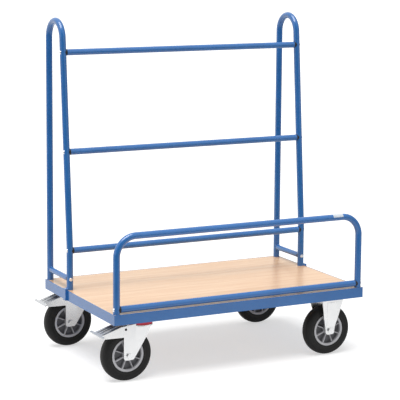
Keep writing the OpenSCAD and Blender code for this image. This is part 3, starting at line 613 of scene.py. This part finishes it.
bars = [middle(f"{height}_cross_tube") for height in ("lower", "middle", "top")]
lean = math.atan2(bars[2][1] - bars[1][1], bars[2][2] - bars[1][2])
tilt, plumb = math.sin(lean), math.cos(lean)
leg_y = middle("leg_hooks")[1]
foot_z = middle("left_foot_rail")[2]
upright_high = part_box("left_upright")[1]
rear_y = upright_high.y - post_r - SEAM
apex_z = upright_high.z - post_r
kink_z = bars[0][2] + KINK_RISE
kink_cut = KINK_R * math.tan(lean / 2)
bend_r = ((rear_y - leg_y) * plumb - (apex_z - kink_z) * tilt) / (1 + plumb - tilt)
bend_z = apex_z - bend_r
slope_run = (bend_z + bend_r * tilt - kink_z) / plumb
slope_marks = [(bar[2] - kink_z) / plumb - kink_cut for bar in bars[1:]]
legs = [
    (kink_z - board_top - kink_cut, [foot_z - board_top, bars[0][2] - board_top], KINK_R, lean),
    (slope_run - kink_cut, slope_marks, bend_r, math.pi - lean),
    (bend_z - board_top, [], 0, 0),
]
flat, flat_ways = walk(legs)
zero = np.zeros(len(flat))
ways = np.stack([zero, flat_ways[:, 0], flat_ways[:, 1]], axis=1)
across = np.broadcast_to((1.0, 0, 0), ways.shape)

for side, outward in (("left", (-1.0, 0, 0)), ("right", (1.0, 0, 0))):
    post_x = middle(f"{side}_foot_rail")[0]
    path = np.stack([zero + post_x, leg_y + flat[:, 0], board_top + flat[:, 1]], axis=1)
    points = carry_circle(path, ways, across, post_r, SIDES)
    for bar in bars:
        points = press_seat(points, np.array([post_x, bar[1], bar[2]]), np.array(outward))
    points = press_seat(points, np.array([post_x, leg_y, foot_z]), np.array([0, -1.0, 0]))
    faces = capped(len(path), SIDES)
    piece = put_mesh(f"{side}_upright_tube", points, faces, "blue_powder_coat", "chassis")
    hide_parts(f"{side}_upright")
print("lean in degrees:", round(math.degrees(lean), 2), "top bend in mm:", round(bend_r / MM, 1))

# %% [markdown]
# Front hoop
#
# The hoop is one tube with two square bends, which stands along the front of the deck. It is the same
# walk in another plane: up, right, and down again. Its two screws hold the lower tube, one at each end.

# %% Front hoop
HOOP_BEND_R = 77 * MM

hoop_low, hoop_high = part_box("front_hoop")
hoop_y = middle("hoop_lower_tube")[1]
hoop_bar_z = middle("hoop_lower_tube")[2]
hoop_left = hoop_low.x + post_r + SEAM
hoop_right = hoop_high.x - post_r - SEAM
hoop_leg = hoop_high.z - SEAM - post_r - HOOP_BEND_R - board_top
legs = [
    (hoop_leg, [hoop_bar_z - board_top], HOOP_BEND_R, math.pi / 2),
    (hoop_right - hoop_left - 2 * HOOP_BEND_R, [], HOOP_BEND_R, math.pi / 2),
    (hoop_leg, [hoop_leg + board_top - hoop_bar_z], 0, 0),
]
flat, flat_ways = walk(legs)
zero = np.zeros(len(flat))
path = np.stack([hoop_left + flat[:, 0], zero + hoop_y, board_top + flat[:, 1]], axis=1)
ways = np.stack([flat_ways[:, 0], zero, flat_ways[:, 1]], axis=1)
points = carry_circle(path, ways, np.broadcast_to((0, 1.0, 0), path.shape), post_r, SIDES)
for x, outward in ((hoop_left, (-1.0, 0, 0)), (hoop_right, (1.0, 0, 0))):
    points = press_seat(points, np.array([x, hoop_y, hoop_bar_z]), np.array(outward))
piece = put_mesh("front_hoop_tube", points, capped(len(path), SIDES), "blue_powder_coat", "chassis")
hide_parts("front_hoop")

# %% [markdown]
# Welds
#
# The short rails between the legs are coped and welded to the back legs, and the hooks are welded to the
# front legs. A weld is a thin bead with ripples, one for each stop of the torch. Bump could draw the
# ripples, but a bead also shows in the outline, so it is a thin tube of changing radius. The rail's bead
# follows the curve where two cylinders meet, and the hook's bead is an arc round the leg that tapers at
# both ends.

# %% Welds
BEAD_R = 2.2 * MM
RIPPLE = 0.12
RIPPLE_PITCH = 2.5 * MM
BEAD_SIDES = 12
BEAD_TIP_SHARE = 0.3
BEAD_SHARP_DEGREES = 80
RAIL_BEAD_RINGS = 240
HOOK_BEAD_RINGS = 90
HOOK_BEAD_SHARE = 0.92
# A direction that no bead runs along
SLANT = (0.3, 0.5, 0.8)


def put_bead(name, path, closed):
    """Weld bead: a circle carried along a path, whose radius ripples with the distance along it."""
    if closed:
        step = np.roll(path, -1, axis=0) - np.roll(path, 1, axis=0)
    else:
        step = np.gradient(path, axis=0)
    ways = unit(step)
    across = unit(np.cross(ways, np.cross(ways, SLANT)))
    gone = np.cumsum(np.linalg.norm(np.diff(path, axis=0, prepend=path[:1]), axis=1))
    radius = BEAD_R * (1 + RIPPLE * np.cos(2 * math.pi * gone / RIPPLE_PITCH))
    if not closed:
        radius = radius * np.clip(np.minimum(gone, gone[-1] - gone) / (2 * BEAD_R), BEAD_TIP_SHARE, 1)
    points = carry_circle(path, ways, across, radius, BEAD_SIDES)
    faces = grid_faces(len(path), BEAD_SIDES, True) if closed else capped(len(path), BEAD_SIDES)
    return put_mesh(name, points, faces, "blue_powder_coat", "chassis", BEAD_SHARP_DEGREES)


hook_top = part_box("leg_hooks")[1].z
hook_half = spread("leg_hooks")[1] / 2
for side, way in (("left", -1), ("right", 1)):
    rail = middle(f"{side}_foot_rail")
    rail_r = spread(f"{side}_foot_rail")[0] / 2
    turn = np.linspace(0, 2 * math.pi, RAIL_BEAD_RINGS, endpoint=False)
    x = rail_r * np.cos(turn)
    y = rear_y - np.sqrt(post_r ** 2 - x ** 2)
    path = np.stack([rail[0] + x, y, rail[2] + rail_r * np.sin(turn)], axis=1)
    put_bead(f"{side}_foot_rail_weld", path, True)
    half_turn = math.asin(hook_half / post_r) * HOOK_BEAD_SHARE
    turn = np.linspace(-half_turn, half_turn, HOOK_BEAD_RINGS)
    x = rail[0] + way * post_r * np.cos(turn)
    y = leg_y + post_r * np.sin(turn)
    put_bead(f"{side}_hook_weld", np.stack([x, y, np.full_like(x, hook_top)], axis=1), False)

# %% [markdown]
# Tyres
#
# A tyre is a section turned about the axle. A torus would be too round, so the section is a crown whose
# width and height follow a sine and a cosine raised to a power, which makes the tread flatter. The mould
# adds thin raised rings on the sidewalls and fine grooves near the shoulders, as small bumps along the
# section's normal.

# %% Tyres
TYRE_TURNS = 160
CROWN_STEPS = 150
CROWN_MID_SHARE = 0.78
CROWN_POWER = 0.8
BED_STEPS = 12
BED_HALF_MM = 22
RIM_R_SHARE = 0.64
# Radius, height and half width of each ring, where a height below zero is a groove
RINGS_MM = ((80.5, 0.7, 1.0), (86.0, 0.5, 0.8), (97.0, -0.7, 0.9))


def tyre_section(wheel_r, half_w):
    """Closed section as radius and place along the axle. The crown's height is a cosine and its width a
    sine, each raised to a power, its rings are bell curves over the radius, and a flat bed closes it."""
    angle = np.linspace(-math.pi / 2, math.pi / 2, CROWN_STEPS)
    mid_r = wheel_r * CROWN_MID_SHARE
    radius = mid_r + (wheel_r - mid_r) * np.cos(angle).clip(0) ** CROWN_POWER
    along = half_w * np.sign(angle) * np.abs(np.sin(angle)) ** CROWN_POWER
    normal = unit(np.stack([np.gradient(along), -np.gradient(radius)], axis=1))
    rise = sum(h * np.exp(-((radius / MM - r) / w) ** 2) for r, h, w in RINGS_MM) * MM
    radius, along = radius + rise * normal[:, 0], along + rise * normal[:, 1]
    radius = np.concatenate([radius, np.full(BED_STEPS, wheel_r * RIM_R_SHARE)])
    along = np.concatenate([along, np.linspace(1, -1, BED_STEPS) * BED_HALF_MM * MM])
    return radius, along


def turned(section_r, section_y, centre, turns):
    """Grid of a section turned about an axle along Y: rows go round, columns go along the section."""
    turn = np.linspace(0, 2 * math.pi, turns, endpoint=False)[:, None]
    x = centre[0] + section_r * np.cos(turn)
    z = centre[2] + section_r * np.sin(turn)
    y = np.broadcast_to(centre[1] + section_y, x.shape)
    return np.stack([x, y, z], axis=-1)


def map_points(piece, name, u, v):
    """UV map from two numbers for each point, which every face corner takes from its own point."""
    mesh = piece.data
    corner = np.empty(len(mesh.loops), np.int32)
    mesh.loops.foreach_get("vertex_index", corner)
    layer = mesh.uv_layers.new(name=name)
    pairs = np.stack([u[corner], np.clip(v[corner], 0, 1)], axis=1)
    layer.data.foreach_set("uv", pairs.astype(np.float32).ravel())


wheels = [f"{row}_{side}" for row in ("front", "rear") for side in ("left", "right")]
for wheel in wheels:
    node = f"{wheel}_tyre"
    size = spread(node)
    section_r, section_y = tyre_section(size[2] / 2, size[1] / 2)
    points = turned(section_r, section_y, middle(node), TYRE_TURNS)
    columns = len(section_r)
    faces = grid_faces(TYRE_TURNS, columns, True)
    piece = put_mesh(f"{wheel}_rubber_tyre", points, faces, "rubber_tyre", f"{wheel}_wheel")
    turn, column = np.divmod(np.arange(TYRE_TURNS * columns), columns)
    map_points(piece, "round_and_across", turn / TYRE_TURNS, column / (CROWN_STEPS - 1))
    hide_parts(node)

# %% [markdown]
# Rims
#
# A rim is moulded plastic: a ring for the tyre, a thin web, a hub, and eight ribs on both sides of the
# web. Plastic never has sharp edges, because the mould's corners are rounded. A bevel could round them,
# but ring, web and hub are one section turned about the axle, so its corners are cut by arcs before it
# is turned. A rib is a rounded section carried out from the hub.

# %% Rims
RIM_TURNS = 120
RIM_RING_MM = 9
RIM_WEB_MM = 6
HUB_R_MM = 19
BORE_R_MM = 14
RIM_ROUND_MM = 1.6
RIB_COUNT = 8
RIB_HALF_T_MM = 2.1
RIB_HALF_W_MM = 19.5
RIB_SINK_MM = 2
RIB_POWER = 0.35
RIB_SIDES = 36
ARC_STEPS = 6


def round_corners(corners, radius):
    """Closed outline whose corners are replaced by arcs: a quadratic curve from one side to the next, with
    the corner as its middle control point, which is close to a circle's arc."""
    corners = np.asarray(corners, float)
    back = unit(np.roll(corners, 1, axis=0) - corners) * radius
    forth = unit(np.roll(corners, -1, axis=0) - corners) * radius
    t = np.linspace(0, 1, ARC_STEPS)[None, :, None]
    start, end = (corners + back)[:, None, :], (corners + forth)[:, None, :]
    curve = (1 - t) ** 2 * start + 2 * t * (1 - t) * corners[:, None, :] + t ** 2 * end
    return curve.reshape(-1, 2)


def rim_section(rim_r, half_ring, half_hub):
    """Section of ring, web and hub as radius and place along the axle: the corners of one half, then the
    same corners mirrored, all rounded."""
    ring, web = rim_r - RIM_RING_MM * MM, RIM_WEB_MM * MM / 2
    hub, bore = HUB_R_MM * MM, BORE_R_MM * MM
    top = [(bore, half_hub), (hub, half_hub), (hub, web),
           (ring, web), (ring, half_ring), (rim_r, half_ring)]
    return round_corners(top + [(r, -y) for r, y in reversed(top)], RIM_ROUND_MM * MM)


def rib_grid(centre, inner_r, outer_r, angle):
    """Rib: a section of rounded sine and cosine carried straight out from the axle at an angle."""
    turn = np.linspace(0, 2 * math.pi, RIB_SIDES, endpoint=False)
    thick = RIB_HALF_T_MM * MM * np.sign(np.cos(turn)) * np.abs(np.cos(turn)) ** RIB_POWER
    wide = RIB_HALF_W_MM * MM * np.sign(np.sin(turn)) * np.abs(np.sin(turn)) ** RIB_POWER
    out = np.array([math.cos(angle), 0, math.sin(angle)])
    round_way = np.array([-math.sin(angle), 0, math.cos(angle)])
    section = thick[:, None] * round_way + wide[:, None] * np.array([0, 1.0, 0])
    return np.stack([centre + out * r + section for r in (inner_r, outer_r)])


for wheel in wheels:
    node = f"{wheel}_rim"
    size, centre = spread(node), middle(node)
    rim_r = size[2] / 2
    section = rim_section(rim_r, BED_HALF_MM * MM, size[1] / 2)
    points = [turned(section[:, 0], section[:, 1], centre, RIM_TURNS).reshape(-1, 3)]
    faces = grid_faces(RIM_TURNS, len(section), True)
    rib_from = (HUB_R_MM - RIB_SINK_MM) * MM
    rib_to = rim_r - (RIM_RING_MM - RIB_SINK_MM) * MM
    for angle in (np.arange(RIB_COUNT) + 0.5) * 2 * math.pi / RIB_COUNT:
        faces += capped(2, RIB_SIDES, start=sum(len(p) for p in points))
        points.append(rib_grid(centre, rib_from, rib_to, angle).reshape(-1, 3))
    points = np.concatenate(points)
    piece = put_mesh(f"{wheel}_moulded_rim", points, faces, "grey_plastic", f"{wheel}_wheel")
    # V of this map sets the painted shade between the ribs
    depth = np.abs(points[:, 1] - centre[1]) / (BED_HALF_MM * MM)
    map_points(piece, "depth", np.zeros(len(points)), depth)
    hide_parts(node)

# %% [markdown]
# Softened edges
#
# Sheet steel and boards never have knife edges, and a thin bright line along each edge is what tells the
# eye that a part is real. A solid part arrives as loose triangles, so its points are first welded
# together, flat faces are joined, and then a small bevel rounds the edges. Modifiers do that and leave
# the part's own mesh alone.

# %% Soften the edges
EDGE_MM = 0.7
BOARD_EDGE_MM = 0.8
WELD_MM = 0.002
FLAT_DEGREES = 0.5
SHARP_DEGREES = 35
EDGE_STEPS = 2


def soften(name, width_mm):
    """Rounds the edges of a solid part: weld its points, join its flat faces, bevel its sharp edges."""
    part = nodes[name]
    weld = part.modifiers.new("weld points", "WELD")
    weld.merge_threshold = WELD_MM * MM
    join = part.modifiers.new("join flat faces", "DECIMATE")
    join.decimate_type = "DISSOLVE"
    join.angle_limit = math.radians(FLAT_DEGREES)
    bevel = part.modifiers.new("round edges", "BEVEL")
    bevel.width = width_mm * MM
    bevel.segments = EDGE_STEPS
    bevel.limit_method = "ANGLE"
    bevel.angle_limit = math.radians(SHARP_DEGREES)
    bevel.use_clamp_overlap = True
    bevel.harden_normals = True


sheet_parts = ["front_rail", "rear_rail", "left_rail", "right_rail", "leg_hooks", "centre_bearer"]
for name in sheet_parts:
    soften(name, EDGE_MM)
soften("deck_board", BOARD_EDGE_MM)
print("softened", len(sheet_parts) + 1, "parts")

# %% [markdown]
# What the rays see
#
# The trolley stands in a white studio, and the light on it should stay plain. So the white that the
# camera and the reflections see is kept apart from the light that the surroundings give. A mirror of
# even white would make bright metal flat, so in reflections the white fades towards the front of the
# room, where the camera stands, and towards the right. The sky fades with the direction, and the floor
# with the distance in metres.

# %% White for the camera and for reflections
WHITE = (1, 1, 1, 1)
ROOM_DIM, RIGHT_DIM = 0.1, 0.45
SKY_ROOM, SKY_RIGHT = (0.6, 0.95), (0.45, 0.8)
FLOOR_ROOM, FLOOR_RIGHT = (0.9, 2.0), (0.5, 1.6)


def seen_rays(tree):
    """One for rays from the camera, from a reflection or through glass, and zero for the rest."""
    path = add(tree, "ShaderNodeLightPath")
    seen = add(tree, "ShaderNodeMath", {
        0: path.outputs["Is Camera Ray"], 1: path.outputs["Is Glossy Ray"]}, operation="MAXIMUM")
    seen = add(tree, "ShaderNodeMath", {
        0: seen.outputs["Value"], 1: path.outputs["Is Transmission Ray"]}, operation="MAXIMUM")
    return seen.outputs["Value"]


def reflected_white(tree, way, room_span, right_span):
    """White that a reflection sees: one, but less as way goes towards the camera's side or to the right.
    Each span gives where the fading starts and where it ends."""
    to_room = add(tree, "ShaderNodeVectorMath", {0: way, 1: (-ahead).tolist()}, operation="DOT_PRODUCT")
    to_right = add(tree, "ShaderNodeSeparateXYZ", {"Vector": way})
    room_white = add(tree, "ShaderNodeMapRange", {
        "Value": to_room.outputs["Value"], "From Min": room_span[0], "From Max": room_span[1],
        "To Min": 1.0, "To Max": ROOM_DIM})
    right_white = add(tree, "ShaderNodeMapRange", {
        "Value": to_right.outputs["X"], "From Min": right_span[0], "From Max": right_span[1],
        "To Min": 1.0, "To Max": RIGHT_DIM})
    least = add(tree, "ShaderNodeMath", {
        0: room_white.outputs["Result"], 1: right_white.outputs["Result"]}, operation="MINIMUM")
    return least.outputs["Value"]


print("reflections fade to", ROOM_DIM, "behind the camera and to", RIGHT_DIM, "at the right")

# %% [markdown]
# Floor
#
# The floor is a pale matt sheet. Paint alone would look grey, so a little glow lifts what the camera
# sees to white where light falls, and just the soft shadow remains. Reflections see a weaker glow.

# %% Floor
FLOOR_HALF = 60
FLOOR_PALE = 0.6
FLOOR_LIFT = 0.56
FLOOR_GLOSS_LIFT = 0.28

square = np.array([(-1, -1, 0), (1, -1, 0), (1, 1, 0), (-1, 1, 0)]) * FLOOR_HALF
floor_mesh = bpy.data.meshes.new("floor")
floor_mesh.from_pydata(square.tolist(), [], [(0, 1, 2, 3)])
floor = bpy.data.objects.new("floor", floor_mesh)
bpy.context.scene.collection.objects.link(floor)

pale = bpy.data.materials.new("pale_studio_floor")
pale.use_nodes = True
tree = pale.node_tree
tree.nodes.clear()
camera_ray = add(tree, "ShaderNodeLightPath").outputs["Is Camera Ray"]
place = add(tree, "ShaderNodeTexCoord").outputs["Object"]
whiteness = reflected_white(tree, place, FLOOR_ROOM, FLOOR_RIGHT)
seen_white = add(tree, "ShaderNodeMath", {0: whiteness, 1: camera_ray}, operation="MAXIMUM")
shade = add(tree, "ShaderNodeMath", {0: seen_white.outputs["Value"], 1: FLOOR_PALE}, operation="MULTIPLY")
gloss_lift = add(tree, "ShaderNodeMath", {0: whiteness, 1: FLOOR_GLOSS_LIFT}, operation="MULTIPLY")
strength = add(tree, "ShaderNodeMapRange", {
    "Value": camera_ray, "To Min": gloss_lift.outputs["Value"], "To Max": FLOOR_LIFT})
matt = add(tree, "ShaderNodeBsdfDiffuse", {"Color": (FLOOR_PALE, FLOOR_PALE, FLOOR_PALE, 1)})
shown = add(tree, "ShaderNodeBsdfDiffuse", {"Color": shade.outputs["Value"]})
lift = add(tree, "ShaderNodeEmission", {"Color": WHITE, "Strength": strength.outputs["Result"]})
lifted = add(tree, "ShaderNodeAddShader", {0: shown.outputs["BSDF"], 1: lift.outputs["Emission"]})
mixed = add(tree, "ShaderNodeMixShader", {
    0: seen_rays(tree), 1: matt.outputs["BSDF"], 2: lifted.outputs["Shader"]})
add(tree, "ShaderNodeOutputMaterial", {"Surface": mixed.outputs["Shader"]})
pale.cycles.emission_sampling = "NONE"
floor_mesh.materials.append(pale)
print("floor, metres each way:", FLOOR_HALF)

# %% [markdown]
# White surroundings
#
# All round the floor is an even white. The camera sees it at a strength of one, while the light that it
# gives to the trolley is less than half of that, so pale parts keep their colour.

# %% White surroundings
SURROUND = 0.42

world = bpy.data.worlds.new("white_studio")
bpy.context.scene.world = world
world.use_nodes = True
tree = world.node_tree
tree.nodes.clear()
ambient = add(tree, "ShaderNodeBackground", {"Color": WHITE, "Strength": SURROUND})
camera_ray = add(tree, "ShaderNodeLightPath").outputs["Is Camera Ray"]
way = add(tree, "ShaderNodeTexCoord").outputs["Generated"]
whiteness = reflected_white(tree, way, SKY_ROOM, SKY_RIGHT)
strength = add(tree, "ShaderNodeMath", {0: camera_ray, 1: whiteness}, operation="MAXIMUM")
white = add(tree, "ShaderNodeBackground", {"Color": WHITE, "Strength": strength.outputs["Value"]})
mixed = add(tree, "ShaderNodeMixShader", {
    0: seen_rays(tree), 1: ambient.outputs["Background"], 2: white.outputs["Background"]})
add(tree, "ShaderNodeOutputWorld", {"Surface": mixed.outputs["Shader"]})
print("light from the surroundings:", SURROUND)

# %% [markdown]
# Key light
#
# One very wide lamp overhead, like a soft box under the ceiling, makes tops brighter than sides and
# gives the soft shadow under the deck. An area lamp's light falls off with distance, but a sun lamp's is
# the same everywhere, and its angle sets how soft it is. A lamp shines along its own -Z axis, so its
# axes are set as a matrix too. The Standard view shows colours as they are written.

# %% Key light
KEY_STRENGTH = 2.7
KEY_ANGLE = 45
KEY_FROM = (-0.22, -0.12, 1.0)

key = bpy.data.lights.new("key", "SUN")
key.energy = KEY_STRENGTH
key.angle = math.radians(KEY_ANGLE)
key_lamp = bpy.data.objects.new("key", key)
bpy.context.scene.collection.objects.link(key_lamp)
back_axis = unit(KEY_FROM)
side_axis = unit(np.cross((0, 0, 1), back_axis))
axes = np.eye(4)
axes[:3, 0] = side_axis
axes[:3, 1] = np.cross(back_axis, side_axis)
axes[:3, 2] = back_axis
key_lamp.matrix_world = Matrix(axes.tolist())
bpy.context.scene.view_settings.view_transform = "Standard"
print("key light from", KEY_FROM)
